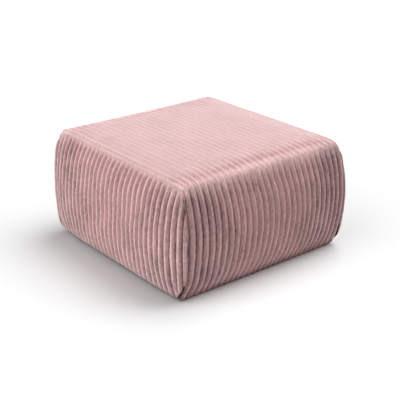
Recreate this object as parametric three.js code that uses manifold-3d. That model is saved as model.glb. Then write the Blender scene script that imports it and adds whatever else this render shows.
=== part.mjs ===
// A low square pouf in wide-ribbed cord cloth. One wrap panel runs up the front, over the top and down
// the back; a barrel-shaped end panel closes each side, and a plain base cloth closes the underside.
// Millimetres, +Z up. X runs from end panel to end panel, Y from front to back, and the origin is the
// middle of the underside, on the floor.

import * as THREE from 'three';
import { mergeVertices } from 'three/addons/utils/BufferGeometryUtils.js';
import Module from 'manifold-3d';

const wasm = await Module();
wasm.setup();

// Ribs of the cloth
const WRAP_RIBS = 28;
const WRAP_PITCH = 24.4;
const END_PITCH = 25.4;
const END_RIB_SHIFT = -5;
const RIB_HEIGHT = 5.5;
const RIB_SHOULDERS = [1 / 3, 2 / 3];

// Cloth, seams and clearances
const CLOTH = 2.5;
const SEAM_MARGIN = 5;
const RIB_END_LENGTH = 8;
const RIB_END_SHARE = 1 / 5;
const GAP = 0.3;
const WELD = 1e-3;

// Crown of each face, over the flat line between its seams
const FRONT_CROWN = 15;
const END_CROWN = 12;
const TOP_CROWN = 3;

// Underside: the wrap is turned under by a hem, and the base cloth lies inside it
const HEM = 24;
const BASE_CLOTH = 2;
const BASE_CORNER = 30;

// The padded body at each height: how far its ribs reach sideways and to the front, and how round its
// upright corners are. The first row lies below the floor, where the underside is cut level, and above
// the last row the top runs across.
const SECTIONS = [
  { height: -10, halfWidth: 338.8, halfDepth: 345, cornerRadius: 17 },
  { height: 25, halfWidth: 361, halfDepth: 363, cornerRadius: 18 },
  { height: 60, halfWidth: 369, halfDepth: 377, cornerRadius: 21 },
  { height: 110, halfWidth: 373, halfDepth: 389, cornerRadius: 27 },
  { height: 170, halfWidth: 374, halfDepth: 395.5, cornerRadius: 34 },
  { height: 230, halfWidth: 372, halfDepth: 397, cornerRadius: 36 },
  { height: 290, halfWidth: 367, halfDepth: 391, cornerRadius: 35 },
  { height: 335, halfWidth: 360, halfDepth: 381, cornerRadius: 33 },
  { height: 365, halfWidth: 353, halfDepth: 371, cornerRadius: 32 },
  { height: 385, halfWidth: 350, halfDepth: 359, cornerRadius: 32 },
  { height: 396, halfWidth: 350, halfDepth: 342, cornerRadius: 32 },
  { height: 399, halfWidth: 350, halfDepth: 318, cornerRadius: 32 },
];
const TOP_ROWS = 5;
const END_ROWS = 8;

const WRAP_HALF = (WRAP_RIBS * WRAP_PITCH) / 2 + SEAM_MARGIN;
const LOWEST = SECTIONS[0].height;
const TOP_HEIGHT = SECTIONS[SECTIONS.length - 1].height;
const SHARPEST = 1;
const JUST_UNDER_TOP = TOP_HEIGHT - 1;
const TOP_HALF_DEPTH = SECTIONS[SECTIONS.length - 1].halfDepth;

const COLOURS = { wrap: 0xcfa3a3, end: 0xd2a8a8, base: 0x4a4444 };

function bell(height) {
  const share = THREE.MathUtils.clamp(height / TOP_HEIGHT, 0, 1);
  return 4 * share * (1 - share);
}

// Triangles collected by their corner points

class Shell {
  positions = [];

  triangle(a, b, c) {
    this.positions.push(...a.toArray(), ...b.toArray(), ...c.toArray());
  }

  // Rows of points of equal length. The faces look along (next column) x (next row), or the other way
  // when flipped, with the same diagonals.
  grid(rows, flipped = false) {
    const face = (a, b, c) => (flipped ? this.triangle(a, c, b) : this.triangle(a, b, c));
    for (let i = 0; i + 1 < rows.length; i += 1) {
      for (let j = 0; j + 1 < rows[i].length; j += 1) {
        face(rows[i][j], rows[i][j + 1], rows[i + 1][j + 1]);
        face(rows[i][j], rows[i + 1][j + 1], rows[i + 1][j]);
      }
    }
  }

  solid() {
    const loose = new THREE.BufferGeometry();
    loose.setAttribute('position', new THREE.Float32BufferAttribute(this.positions, 3));
    const merged = mergeVertices(loose, WELD);
    const index = Array.from(merged.index.array);
    const kept = [];
    for (let i = 0; i < index.length; i += 3) {
      const [a, b, c] = index.slice(i, i + 3);
      if (a !== b && b !== c && c !== a) kept.push(a, b, c);
    }
    return new wasm.Manifold(new wasm.Mesh({
      numProp: 3,
      vertProperties: new Float32Array(merged.attributes.position.array),
      triVerts: new Uint32Array(kept),
    }));
  }
}

function geometryOf(solid) {
  const mesh = solid.getMesh();
  const geometry = new THREE.BufferGeometry();
  geometry.setAttribute('position', new THREE.BufferAttribute(mesh.vertProperties, 3));
  geometry.setIndex(new THREE.BufferAttribute(mesh.triVerts, 1));
  return geometry;
}

function solidOf(geometry) {
  const bare = geometry.clone();
  bare.deleteAttribute('normal');
  bare.deleteAttribute('uv');
  const shell = new Shell();
  const loose = bare.index ? bare.toNonIndexed() : bare;
  shell.positions = Array.from(loose.attributes.position.array);
  return shell.solid();
}

// What lies below the floor is cut away, so that the underside is level
const GROUND_SPAN = 1000;
const GROUND_DEPTH = 40;

function ground() {
  const block = new THREE.BoxGeometry(GROUND_SPAN, GROUND_SPAN, GROUND_DEPTH);
  return solidOf(block.translate(0, 0, -GROUND_DEPTH / 2));
}

// The wrap's line from the front hem, over the top, to the back hem

function wrapStations() {
  const front = SECTIONS.map((row) => ({
    y: -row.halfDepth,
    z: row.height,
    reach: row.halfWidth,
    radius: row.cornerRadius,
    crown: FRONT_CROWN * bell(row.height),
  }));
  const topEdge = front[front.length - 1];
  const top = [];
  for (let i = 1; i <= TOP_ROWS; i += 1) {
    const share = (2 * i) / (TOP_ROWS + 1) - 1;
    top.push({ ...topEdge, y: share * TOP_HALF_DEPTH, crown: TOP_CROWN * (1 - share * share) });
  }
  const back = front.map((row) => ({ ...row, y: -row.y })).reverse();
  const stations = [...front, ...top, ...back];
  const last = stations.length - 1;
  stations.forEach((station, i) => {
    const before = stations[Math.max(i - 1, 0)];
    const after = stations[Math.min(i + 1, last)];
    const run = new THREE.Vector2(after.y - before.y, after.z - before.z).normalize();
    station.normal = new THREE.Vector3(0, -run.y, run.x);
  });
  return stations;
}

const STATIONS = wrapStations();

// A point of the wrap: `across` is measured on the cloth from its middle, `depth` down from the ribs
function wrapPoint(across, station, depth) {
  const side = Math.sign(across);
  const flat = station.reach - station.radius;
  const turn = Math.max(Math.abs(across) - flat, 0) / station.radius;
  const drop = station.radius * (1 - Math.cos(turn));
  const rise = station.crown * Math.max(1 - (across / WRAP_HALF) ** 2, 0) - drop;
  const x = turn > 0 ? side * (flat + station.radius * Math.sin(turn)) : across;
  const normal = station.normal.clone().multiplyScalar(Math.cos(turn));
  normal.x = side * Math.sin(turn);
  return new THREE.Vector3(x, station.y, station.z)
    .addScaledVector(station.normal, rise)
    .addScaledVector(normal, -depth);
}

function wrapColumns() {
  const columns = [{ across: -WRAP_HALF, depth: RIB_HEIGHT }];
  const start = (-WRAP_RIBS * WRAP_PITCH) / 2;
  for (let rib = 0; rib < WRAP_RIBS; rib += 1) {
    const edge = start + rib * WRAP_PITCH;
    columns.push({ across: edge, depth: RIB_HEIGHT });
    RIB_SHOULDERS.forEach((share) => columns.push({ across: edge + share * WRAP_PITCH, depth: 0 }));
  }
  columns.push({ across: -start, depth: RIB_HEIGHT }, { across: WRAP_HALF, depth: RIB_HEIGHT });
  return columns;
}

// The end panel on the -X side: `across` is measured on the cloth from its middle line

function sectionAt(height) {
  const upper = Math.max(SECTIONS.findIndex((row) => row.height >= height), 1);
  const [a, b] = [SECTIONS[upper - 1], SECTIONS[upper]];
  const share = (height - a.height) / (b.height - a.height);
  const mix = (key) => THREE.MathUtils.lerp(a[key], b[key], share);
  const radius = mix('cornerRadius');
  const overEdge = THREE.MathUtils.clamp(height - (TOP_HEIGHT - radius), 0, radius);
  const drop = radius - Math.sqrt(radius * radius - overEdge * overEdge);
  return {
    halfWidth: mix('halfWidth') - drop,
    halfDepth: mix('halfDepth'),
    radius: Math.max(radius - drop, SHARPEST),
  };
}

function endSurface(across, height) {
  const { halfWidth, halfDepth, radius } = sectionAt(height);
  const flat = halfDepth - radius;
  const turn = Math.max(Math.abs(across) - flat, 0) / radius;
  const y = turn > 0 ? Math.sign(across) * (flat + radius * Math.sin(turn)) : across;
  const swell = END_CROWN * bell(height) * Math.max(1 - (across / (flat + radius)) ** 2, 0);
  return new THREE.Vector3(-(halfWidth - radius * (1 - Math.cos(turn)) + swell), y, height);
}

const NORMAL_STEP = 6;

function endPoint(across, height, depth) {
  const low = Math.max(height - NORMAL_STEP, LOWEST);
  const high = Math.min(height + NORMAL_STEP, JUST_UNDER_TOP);
  const upward = endSurface(across, high).sub(endSurface(across, low));
  const sideways = endSurface(across - NORMAL_STEP, height).sub(endSurface(across + NORMAL_STEP, height));
  const normal = sideways.cross(upward).normalize();
  return endSurface(across, height).addScaledVector(normal, -depth);
}

// The line that an end panel is first made to, a little past the seam, as cloth coordinates of the panel
const SEAM_ALLOWANCE = 3;
const PANEL_EDGE = -WRAP_HALF + SEAM_ALLOWANCE;

function seamLine() {
  return STATIONS.map((station) => {
    const point = wrapPoint(PANEL_EDGE, station, 0);
    const height = Math.min(point.z, JUST_UNDER_TOP);
    const { halfWidth, halfDepth, radius } = sectionAt(height);
    const flat = halfDepth - radius;
    const past = Math.abs(point.y) - flat;
    const turn = Math.atan2(past, -point.x - (halfWidth - radius));
    const across = past > 0 ? Math.sign(point.y) * (flat + radius * turn) : point.y;
    return { across, height, station };
  });
}

// Where a line of constant `across` meets the seam: its lowest and highest crossing, with the two
// stations beside each and the share between them
function seamCrossings(line, across) {
  const found = [];
  for (let i = 0; i + 1 < line.length; i += 1) {
    const [a, b] = [line[i], line[i + 1]];
    if ((a.across - across) * (b.across - across) <= 0 && a.across !== b.across) {
      const share = (across - a.across) / (b.across - a.across);
      found.push({ height: THREE.MathUtils.lerp(a.height, b.height, share), a, b, share });
    }
  }
  found.sort((p, q) => p.height - q.height);
  return found;
}

function seamPoint(crossing, depth) {
  const a = wrapPoint(PANEL_EDGE, crossing.a.station, depth);
  const b = wrapPoint(PANEL_EDGE, crossing.b.station, depth);
  return a.lerp(b, crossing.share);
}

// One upright line of an end panel, from the underside or the seam up to the seam above
function endColumn(line, across, depthAt, edgeDepth) {
  const crossings = seamCrossings(line, across);
  const top = crossings[crossings.length - 1];
  const fromFloor = crossings.length < 2;
  const low = fromFloor ? LOWEST : crossings[0].height;
  const length = top.height - low;
  const ease = Math.min(RIB_END_LENGTH, length * RIB_END_SHARE);
  const heights = [low];
  for (let i = 0; i <= END_ROWS; i += 1) {
    heights.push(low + ease + ((length - 2 * ease) * i) / END_ROWS);
  }
  heights.push(top.height);
  const topFix = seamPoint(top, edgeDepth).sub(endPoint(across, top.height, edgeDepth));
  const lowFix = new THREE.Vector3();
  if (!fromFloor) {
    lowFix.copy(seamPoint(crossings[0], edgeDepth)).sub(endPoint(across, low, edgeDepth));
  }
  return heights.map((height, i) => {
    const share = (height - low) / length;
    const atSeam = i === heights.length - 1 || (i === 0 && !fromFloor);
    return endPoint(across, height, atSeam ? edgeDepth : depthAt)
      .addScaledVector(topFix, share ** 2)
      .addScaledVector(lowFix, (1 - share) ** 2);
  });
}

// Grooves and rib shoulders of an end panel between its two furthest points. The backing has a line at
// each groove, and near the upright seams at the shoulders too.
const BACKING_FLAT = 320;
const NEAREST_TO_APEX = 3;

function endColumns(line) {
  const spread = Math.max(...line.map((p) => p.across));
  const ribs = Math.ceil(spread / END_PITCH);
  const columns = [];
  for (let rib = -ribs; rib <= ribs; rib += 1) {
    const edge = (rib - 0.5) * END_PITCH + END_RIB_SHIFT;
    columns.push({ across: edge, depth: RIB_HEIGHT, backed: true });
    RIB_SHOULDERS.forEach((share) => {
      const across = edge + share * END_PITCH;
      columns.push({ across, depth: 0, backed: Math.abs(across) > BACKING_FLAT });
    });
  }
  return columns.filter((column) => Math.abs(column.across) < spread - NEAREST_TO_APEX);
}

// The furthest point of the panel at one side, where its upright lines shrink to nothing
function endApex(line, side, depth) {
  const furthest = line.reduce((best, p) => (side * p.across > side * best.across ? p : best));
  const point = wrapPoint(PANEL_EDGE, furthest.station, depth);
  return Array.from({ length: END_ROWS + 3 }, () => point.clone());
}

function transpose(columns) {
  return columns[0].map((_, row) => columns.map((column) => column[row]));
}

// The ribbed outer face of an end panel, by upright lines
function endFace() {
  const line = seamLine();
  const columns = endColumns(line);
  const upright = columns.map((c) => endColumn(line, c.across, c.depth, RIB_HEIGHT));
  return {
    lines: [endApex(line, -1, RIB_HEIGHT), ...upright, endApex(line, 1, RIB_HEIGHT)],
    backed: [0, ...columns.flatMap((c, i) => (c.backed ? [i + 1] : [])), columns.length + 1],
  };
}

// The plain face behind it, by its own upright lines
function endBacking(depth) {
  const line = seamLine();
  const backed = endColumns(line).filter((c) => c.backed);
  const upright = backed.map((c) => endColumn(line, c.across, depth, depth));
  return transpose([endApex(line, -1, depth), ...upright, endApex(line, 1, depth)]);
}

// Joins the edge of the outer grid to the coarser edge of the inner one
function rim(shell, outer, inner, marks, flip) {
  const face = (a, b, c) => (flip ? shell.triangle(a, c, b) : shell.triangle(a, b, c));
  for (let cell = 0; cell + 1 < marks.length; cell += 1) {
    for (let j = marks[cell]; j < marks[cell + 1]; j += 1) face(inner[cell], outer[j + 1], outer[j]);
    face(inner[cell], inner[cell + 1], outer[marks[cell + 1]]);
  }
}

// The space that the wrap's edge takes along the seam on the -X side, with the clearance outside it
const BAND_OUTWARD = 10;
const BAND_INWARD = 10;
const BAND_WIDTH = 14;

function seamBand() {
  const corners = [
    { across: -WRAP_HALF + BAND_WIDTH, depth: -BAND_OUTWARD },
    { across: -WRAP_HALF + BAND_WIDTH, depth: BAND_INWARD },
    { across: -WRAP_HALF - GAP, depth: BAND_INWARD },
    { across: -WRAP_HALF - GAP, depth: RIB_HEIGHT },
    { across: -WRAP_HALF - GAP, depth: -BAND_OUTWARD },
  ];
  const rings = STATIONS.map((station) => corners.map((c) => wrapPoint(c.across, station, c.depth)));
  const below = (ring) => ring.map((p) => p.clone().setZ(p.z - BAND_WIDTH));
  const band = [below(rings[0]), ...rings, below(rings[rings.length - 1])];
  const shell = new Shell();
  shell.grid(band.map((ring) => [...ring, ring[0]]));
  [band[0].slice().reverse(), band[band.length - 1]].forEach((ring) => {
    for (let i = 1; i + 1 < ring.length; i += 1) shell.triangle(ring[0], ring[i], ring[i + 1]);
  });
  return shell.solid();
}

function endPanelSolid() {
  const { lines, backed } = endFace();
  const shell = new Shell();
  const outer = transpose(lines);
  const inner = endBacking(RIB_HEIGHT + CLOTH);
  shell.grid(outer, true);
  shell.grid(inner);
  rim(shell, outer[0], inner[0], backed, true);
  rim(shell, outer[outer.length - 1], inner[inner.length - 1], backed, false);
  return shell.solid().subtract(seamBand()).subtract(ground());
}

// The padding behind an end panel: it fills the body out to the back of the cloth
const FILL_DEPTH = 60;

function endFillSolid() {
  const face = endBacking(RIB_HEIGHT + CLOTH + GAP);
  const behind = face.map((row) => row.map((p) => new THREE.Vector3(
    Math.max(p.x, -WRAP_HALF) + FILL_DEPTH,
    p.y * (1 - FILL_DEPTH / WRAP_HALF),
    p.z,
  )));
  const last = face.length - 1;
  const shell = new Shell();
  shell.grid(face, true);
  shell.grid(behind);
  shell.grid([face[0], behind[0]]);
  shell.grid([face[last], behind[last]], true);
  return shell.solid();
}

// The wrap's body: a closed section at every rib line, a ledge at each seam for the end panel's edge
function wrapSolid() {
  const shell = new Shell();
  const sections = wrapColumns().map(({ across, depth }) => (
    STATIONS.map((station) => wrapPoint(across, station, depth))
  ));
  const ledge = (side) => STATIONS.map((station) => wrapPoint(side * WRAP_HALF, station, BAND_INWARD));
  const loops = [ledge(-1), ...sections, ledge(1)].map((loop) => [...loop, loop[0]]);
  shell.grid(loops, true);
  [loops[0], loops[loops.length - 1].slice().reverse()].forEach((loop) => {
    const middle = new THREE.Vector3(loop[0].x, 0, TOP_HEIGHT / 2);
    for (let i = 0; i + 1 < loop.length; i += 1) shell.triangle(middle, loop[i], loop[i + 1]);
  });
  return shell.solid();
}

// Base cloth and the shallow seat that it lies in

function roundedSlab(halfWidth, halfDepth, radius, bottom, top) {
  const shape = new THREE.Shape();
  shape.moveTo(-halfWidth + radius, -halfDepth);
  shape.lineTo(halfWidth - radius, -halfDepth);
  shape.absarc(halfWidth - radius, -halfDepth + radius, radius, -Math.PI / 2, 0);
  shape.absarc(halfWidth - radius, halfDepth - radius, radius, 0, Math.PI / 2);
  shape.absarc(-halfWidth + radius, halfDepth - radius, radius, Math.PI / 2, Math.PI);
  shape.absarc(-halfWidth + radius, -halfDepth + radius, radius, Math.PI, 1.5 * Math.PI);
  const settings = { depth: top - bottom, bevelEnabled: false, curveSegments: 4 };
  return new THREE.ExtrudeGeometry(shape, settings).translate(0, 0, bottom);
}

const floorSection = sectionAt(0);
const baseHalfWidth = floorSection.halfWidth - RIB_HEIGHT - HEM;
const baseHalfDepth = floorSection.halfDepth - RIB_HEIGHT - HEM;

const SEAT_BELOW = -1;

function bodySolid() {
  const fill = endFillSolid();
  const seat = solidOf(roundedSlab(
    baseHalfWidth + GAP, baseHalfDepth + GAP, BASE_CORNER + GAP, SEAT_BELOW, BASE_CLOTH + GAP,
  ));
  return wrapSolid()
    .add(fill)
    .add(fill.rotate([0, 0, 180]))
    .subtract(ground())
    .subtract(seat);
}

// The pouf

function cloth(colour) {
  return new THREE.MeshStandardMaterial({ color: colour, roughness: 0.9, metalness: 0 });
}

const pouf = new THREE.Group();

const bodyWrap = new THREE.Mesh(geometryOf(bodySolid()), cloth(COLOURS.wrap));
bodyWrap.name = 'body_wrap';
pouf.add(bodyWrap);

const endGeometry = geometryOf(endPanelSolid());
[['end_panel_left', 0], ['end_panel_right', Math.PI]].forEach(([name, turn]) => {
  const panel = new THREE.Mesh(endGeometry, cloth(COLOURS.end));
  panel.name = name;
  panel.rotation.z = turn;
  pouf.add(panel);
});

const basePanel = new THREE.Mesh(
  roundedSlab(baseHalfWidth, baseHalfDepth, BASE_CORNER, 0, BASE_CLOTH),
  cloth(COLOURS.base),
);
basePanel.name = 'base_panel';
pouf.add(basePanel);

export default pouf;
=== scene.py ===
"""A low square pouf in wide cord cloth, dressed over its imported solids.

The wrap cover runs up the front, over the top and down the back. A barrel-shaped end cover closes each
side, and a plain base cloth, held by stitches, closes the underside. Sizes are in metres.
"""

import logging
import math
from dataclasses import dataclass, field
from enum import Enum
from typing import Any

import bpy
import numpy as np
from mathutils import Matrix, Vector, kdtree

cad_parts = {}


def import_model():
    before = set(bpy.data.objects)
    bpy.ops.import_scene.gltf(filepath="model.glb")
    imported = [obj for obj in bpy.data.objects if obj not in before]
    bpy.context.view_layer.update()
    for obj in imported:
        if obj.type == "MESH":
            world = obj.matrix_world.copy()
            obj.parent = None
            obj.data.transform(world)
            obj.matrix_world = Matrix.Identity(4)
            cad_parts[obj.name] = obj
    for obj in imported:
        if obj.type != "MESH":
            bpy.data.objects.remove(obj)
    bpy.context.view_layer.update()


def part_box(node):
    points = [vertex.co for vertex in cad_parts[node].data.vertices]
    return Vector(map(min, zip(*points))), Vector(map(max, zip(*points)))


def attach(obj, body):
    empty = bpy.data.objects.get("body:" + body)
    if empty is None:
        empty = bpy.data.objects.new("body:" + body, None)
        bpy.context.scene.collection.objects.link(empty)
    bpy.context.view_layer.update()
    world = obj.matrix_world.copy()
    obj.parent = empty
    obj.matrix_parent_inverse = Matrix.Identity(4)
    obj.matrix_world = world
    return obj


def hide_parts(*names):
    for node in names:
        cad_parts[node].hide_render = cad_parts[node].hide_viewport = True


LOG = logging.getLogger("pouf")

Array = np.ndarray
Faces = list[tuple[int, ...]]
Settings = dict[str, Any] | None
Inputs = dict[Any, Any] | None
Colour = tuple[float, float, float, float]
Band = tuple[float, float]
WHITE: Colour = (1.0, 1.0, 1.0, 1.0)


class Side(Enum):
    """The two end covers, by the direction that they face along X."""

    LEFT = -1
    RIGHT = 1


@dataclass(frozen=True)
class Row:
    """The padded form at one height, at the crests of its ribs."""

    height: float
    half_width: float
    half_depth: float
    corner: float


ROWS = (
    Row(0.012, 0.3490, 0.3509, 0.008),
    Row(0.030, 0.3603, 0.3591, 0.008),
    Row(0.055, 0.3622, 0.3710, 0.010),
    Row(0.085, 0.3624, 0.3804, 0.014),
    Row(0.120, 0.3612, 0.3869, 0.020),
    Row(0.165, 0.3597, 0.3923, 0.0235),
    Row(0.210, 0.3581, 0.3949, 0.0245),
    Row(0.255, 0.3572, 0.3927, 0.0245),
    Row(0.297, 0.3566, 0.3867, 0.0235),
    Row(0.330, 0.3552, 0.3786, 0.0225),
    Row(0.356, 0.3505, 0.3712, 0.022),
    Row(0.377, 0.3450, 0.3640, 0.022),
    Row(0.391, 0.3425, 0.3545, 0.022),
    Row(0.3975, 0.3415, 0.3385, 0.022),
    Row(0.3995, 0.3415, 0.3180, 0.022),
)


def smooth(low: float, high: float, x: Array) -> Array:
    """Returns 0 below `low`, 1 above `high` and an eased step between."""
    t = np.clip((x - low) / (high - low), 0.0, 1.0)
    return t * t * (3.0 - 2.0 * t)


def round_end(distance: Array, width: float) -> Array:
    """Returns 0 at the end of a rib and 1 from `width` inwards, along a quarter circle."""
    left = 1.0 - np.clip(distance / width, 0.0, 1.0)
    return np.sqrt(1.0 - left * left)


def bell(height: Array, top: float) -> Array:
    """Returns 0 at the floor and at the top, and 1 halfway up."""
    share = np.clip(height / top, 0.0, 1.0)
    return 4.0 * share * (1.0 - share)


@dataclass(frozen=True)
class Ripple:
    """Soft unevenness over two directions: sine waves of several sizes, drawn from a fixed seed."""

    seed: int
    size: float
    octaves: int = 3
    waves: int = 4
    finer: float = 1.7
    weaker: float = 0.6
    least_pitch: float = 0.8
    most_pitch: float = 1.25

    def at(self, a: Array, b: Array) -> Array:
        """Gives the unevenness, the same on every run.

        Args:
            a: Place in the first direction.
            b: Place in the second direction.

        Returns:
            Values from about -1 to 1.
        """
        draw = np.random.default_rng(self.seed)
        total = np.zeros(np.broadcast(a, b).shape)
        weight = 0.0
        for octave in range(self.octaves):
            share = self.weaker**octave
            for _ in range(self.waves):
                angle, start = draw.uniform(0.0, 2.0 * math.pi, 2)
                pitch = self.size / self.finer**octave * draw.uniform(self.least_pitch, self.most_pitch)
                wave = (a * math.cos(angle) + b * math.sin(angle)) * 2.0 * math.pi / pitch
                total = total + share * np.sin(wave + start)
                weight += share * share / 2.0
        return total / (2.0 * math.sqrt(weight))


def search_tree(points: Array) -> kdtree.KDTree:
    """Sorts points for finding the nearest of them.

    Args:
        points: The points.

    Returns:
        The tree to search.
    """
    tree = kdtree.KDTree(len(points))
    for i, point in enumerate(points):
        tree.insert(point, i)
    tree.balance()
    return tree


class SmoothCurve:
    """A natural cubic spline through rows of values, by its length in their first two columns."""

    def __init__(self, values: Array) -> None:
        """Solves the bends of the curve.

        Args:
            values: One row for each point, with the two columns that give its length first.
        """
        step = np.linalg.norm(np.diff(values[:, :2], axis=0), axis=1)
        self.at = np.concatenate(([0.0], np.cumsum(step)))
        self.values = values
        matrix = np.eye(len(values))
        right = np.zeros_like(values)
        slopes = np.diff(values, axis=0) / step[:, None]
        for i in range(1, len(values) - 1):
            matrix[i, i - 1 : i + 2] = (step[i - 1], 2.0 * (step[i - 1] + step[i]), step[i])
            right[i] = 6.0 * (slopes[i] - slopes[i - 1])
        self.bend = np.linalg.solve(matrix, right)

    @property
    def length(self) -> float:
        """Length along the curve."""
        return float(self.at[-1])

    def sample(self, along: Array) -> tuple[Array, Array]:
        """Reads the curve.

        Args:
            along: Lengths from the start of the curve.

        Returns:
            The values there, and their slopes by length.
        """
        i = np.clip(np.searchsorted(self.at, along, side="right") - 1, 0, len(self.at) - 2)
        step = (self.at[i + 1] - self.at[i])[..., None]
        b = (along - self.at[i])[..., None] / step
        a = 1.0 - b
        low, high = self.values[i], self.values[i + 1]
        bend_low, bend_high = self.bend[i], self.bend[i + 1]
        square = step * step / 6.0
        value = a * low + b * high + ((a**3 - a) * bend_low + (b**3 - b) * bend_high) * square
        slope = (high - low) / step
        slope = slope + ((3 * b * b - 1) * bend_high - (3 * a * a - 1) * bend_low) * step / 6.0
        return value, slope


@dataclass
class PaddedForm:
    """The form that the filling gives the covers, at the crests of their ribs.

    A crown is how far the cloth bulges between its seams, and its fullness how flat it stays amid them. The
    sweep is how far the wrap runs out round its corners near the floor. The spine is the wrap's line over the
    middle, with the half width, corner radius and crown along it, and the levels are its front part.
    """

    rows: tuple[Row, ...] = ROWS
    wrap_half: float = 0.3446
    front_crown: float = 0.0138
    end_crown: float = 0.0290
    front_fullness: float = 2.4
    end_fullness: float = 5.0
    end_reach: float = 1.2
    top_crown: float = 0.0025
    foot_round: float = 0.005
    hem: float = 0.022
    floor_gap: float = 0.0004
    sweep: float = 0.0135
    sweep_height: float = 0.05
    sweep_width: float = 0.08
    top_rise: float = 0.001
    top_margin: float = 0.001
    least_corner: float = 0.001
    foot_inset: float = 0.0095
    foot_bend: float = 0.0035
    foot_start: float = 0.0045
    hem_rise: float = 0.0004
    top_shares: tuple = (-0.66, -0.33, 0.0, 0.33, 0.66)
    level_samples: int = 600
    least_rise: float = 1e-7
    normal_step: float = 0.003
    spine: SmoothCurve = field(init=False)
    levels: Array = field(init=False)

    def __post_init__(self) -> None:
        """Builds the wrap's line from hem to hem, and the table of sections by height."""
        first, last = self.rows[0], self.rows[-1]
        foot_width = first.half_width - self.foot_inset
        foot = (
            (self.foot_round + self.hem, self.floor_gap),
            (self.foot_round + self.hem / 2, self.floor_gap),
            (self.foot_round + self.foot_bend, self.floor_gap + self.hem_rise),
            (self.foot_bend, self.floor_gap + self.foot_start),
        )
        under = [(inset - first.half_depth, z, foot_width, first.corner, 0.0) for inset, z in foot]
        front = [
            (-row.half_depth, row.height, row.half_width, row.corner,
             self.front_crown * float(bell(row.height, last.height)))
            for row in self.rows
        ]
        over = [
            (share * last.half_depth, last.height + self.top_rise * arch, last.half_width, last.corner,
             self.top_crown * arch)
            for share, arch in ((share, 1 - share * share) for share in self.top_shares)
        ]
        half = under + front
        back = [(-y, *others) for y, *others in reversed(half)]
        self.spine = SmoothCurve(np.array(half + over + back))
        start, end = self.spine.at[len(under) - 1], self.spine.at[len(half) - 1]
        value, _ = self.spine.sample(np.linspace(start, end, self.level_samples))
        keep = np.concatenate(([True], np.diff(np.maximum.accumulate(value[:, 1])) > self.least_rise))
        self.levels = value[keep]

    @property
    def top(self) -> float:
        """Height where the front turns into the top."""
        return self.rows[-1].height

    @property
    def waist(self) -> Row:
        """Row nearest to half height."""
        return min(self.rows, key=lambda row: abs(row.height - self.top / 2))

    def wrap(self, across: Array, along: Array) -> tuple[Array, Array]:
        """Places points of the wrap.

        Args:
            across: Cloth width from the middle of the wrap.
            along: Length from the front hem, over the top, to the back hem.

        Returns:
            The points, at the crests of the ribs, and the outward directions there.
        """
        value, slope = self.spine.sample(along)
        y, z, reach, corner, crown = (value[..., i] for i in range(5))
        run = np.hypot(slope[..., 0], slope[..., 1])
        normal_y, normal_z = -slope[..., 1] / run, slope[..., 0] / run
        width = np.abs(across)
        side = np.sign(across)
        near_edge = smooth(self.wrap_half - self.sweep_width, self.wrap_half, width)
        width = width + self.sweep * near_edge * np.exp(-((z / self.sweep_height) ** 2))
        flat = reach - corner
        turn = np.clip(width - flat, 0.0, None) / corner
        x = side * (np.minimum(width, flat) + corner * np.sin(turn))
        share = np.clip(np.abs(across) / self.wrap_half, 0.0, 1.0)
        lift = crown * (1.0 - share**self.front_fullness) - corner * (1.0 - np.cos(turn))
        normal = np.stack([side * np.sin(turn), normal_y * np.cos(turn), normal_z * np.cos(turn)], -1)
        return np.stack(np.broadcast_arrays(x, y + normal_y * lift, z + normal_z * lift), -1), normal

    def section(self, height: Array) -> tuple[Array, Array, Array]:
        """Measures the form's level outline, with its top edge turned in.

        Args:
            height: Heights above the floor.

        Returns:
            Half width, half depth and corner radius there.
        """
        y, z, reach, corner = (self.levels[:, i] for i in range(4))
        half_depth, reach, corner = (np.interp(height, z, column) for column in (-y, reach, corner))
        over = np.clip(height - (self.top - corner), 0.0, corner)
        drop = corner - np.sqrt(corner * corner - over * over)
        return reach - drop, half_depth, np.maximum(corner - drop, self.least_corner)

    def end(self, across: Array, height: Array) -> Array:
        """Places points of the left end cover.

        Args:
            across: Cloth width from the middle of the cover, towards the back.
            height: Height above the floor.

        Returns:
            The points, at the crests of the ribs.
        """
        half_width, half_depth, corner = self.section(height)
        flat = half_depth - corner
        width = np.abs(across)
        turn = np.clip(width - flat, 0.0, None) / corner
        y = np.sign(across) * (np.minimum(width, flat) + corner * np.sin(turn))
        swell = self.end_crown * bell(height, self.top)
        out = width / (flat + self.end_reach * corner)
        swell = swell * np.clip(1.0 - out**self.end_fullness, 0.0, None)
        foot = self.foot_round
        tuck = foot - np.sqrt(foot**2 - np.clip(foot - height, 0.0, foot) ** 2)
        x = half_width - corner * (1.0 - np.cos(turn)) + swell - tuck * np.cos(turn)
        return np.stack(np.broadcast_arrays(-x, y, height), -1)

    def end_normal(self, across: Array, height: Array) -> Array:
        """Finds which way the left end cover faces.

        Args:
            across: Cloth width from the middle of the cover, towards the back.
            height: Height above the floor.

        Returns:
            The outward directions there.
        """
        step = self.normal_step
        low, high = np.maximum(height - step, 0.0), np.minimum(height + step, self.top - self.top_margin)
        upward = self.end(across, high) - self.end(across, low)
        sideways = self.end(across - step, height) - self.end(across + step, height)
        normal = np.cross(sideways, upward)
        return normal / np.linalg.norm(normal, axis=-1, keepdims=True)

    def on_end(self, points: Array) -> tuple[Array, Array]:
        """Finds where points lie on the cloth of the left end cover.

        Args:
            points: Points on or near it.

        Returns:
            Their places across the cloth and their heights.
        """
        height = np.clip(points[..., 2], 0.0, self.top - self.top_margin)
        half_width, half_depth, corner = self.section(height)
        flat = half_depth - corner
        past = np.abs(points[..., 1]) - flat
        turn = np.arctan2(past, -points[..., 0] - (half_width - corner))
        bent = np.sign(points[..., 1]) * (flat + corner * turn)
        return np.where(past > 0, bent, points[..., 1]), height

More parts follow.
